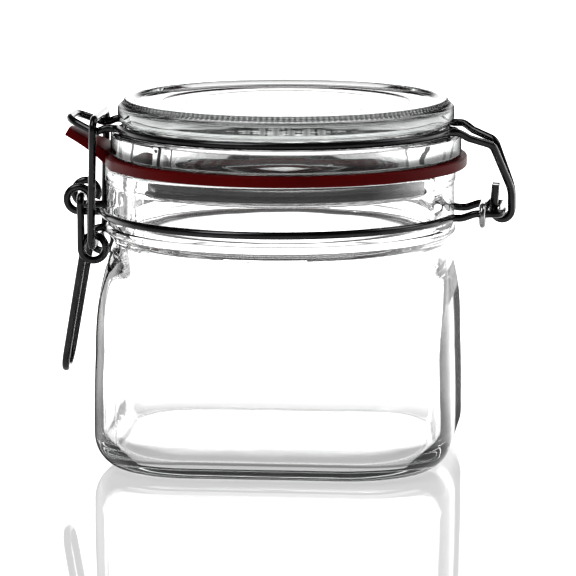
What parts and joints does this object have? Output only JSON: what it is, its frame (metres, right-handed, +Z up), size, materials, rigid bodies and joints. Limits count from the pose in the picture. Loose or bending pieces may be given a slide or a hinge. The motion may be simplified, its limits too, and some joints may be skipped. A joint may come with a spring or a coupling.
{
  "type": "bail clamp jar",
  "caption": "Square-bodied clear glass storage jar with a hinged glass lid, a red rubber gasket with a pull tab, and a wire bail closed by an over-centre wire latch.",
  "frame": {"origin": "on the neck's axis, at the flat base the jar stands on", "axes": "+Z up, +X towards the hinge, -X towards the latch, -Y out of the front face"},
  "size_m": [0.126, 0.1002, 0.0992],
  "materials": {
    "jar_glass": "clear pressed glass, polished",
    "lid_glass": "clear pressed glass, polished",
    "red_rubber": "satin moulded rubber",
    "steel_wire": "drawn bright steel wire",
    "bright_wire": "thin drawn bright steel wire"
  },
  "bodies": {
    "jar": {"glass_jar": "jar_glass", "neck_band": "steel_wire", "keeper_ring": "bright_wire"},
    "lid": {"glass_lid": "lid_glass", "rubber_gasket": "red_rubber", "lid_bail": "steel_wire"},
    "lever": {"latch_lever": "steel_wire"},
    "link": {"latch_link": "steel_wire"}
  },
  "joints": [
    {"name": "lid_hinge", "type": "hinge", "parent": "jar", "child": "lid", "pos_m": [0.0614, 0, 0.069], "axis": [0, 1, 0], "range_deg": [0, 180]},
    {"name": "lever_pivot", "type": "hinge", "parent": "jar", "child": "lever", "pos_m": [-0.0546, 0, 0.072], "axis": [0, 1, 0], "range_deg": [0, 150]},
    {"name": "link_swing", "type": "hinge", "parent": "lever", "child": "link", "pos_m": [-0.051, 0, 0.05885], "axis": [0, 1, 0], "range_deg": [-103.5, 0]}
  ],
  "couplings": [
    {"joint": "link_swing", "follows": "lever_pivot", "ratio": -0.69}
  ]
}
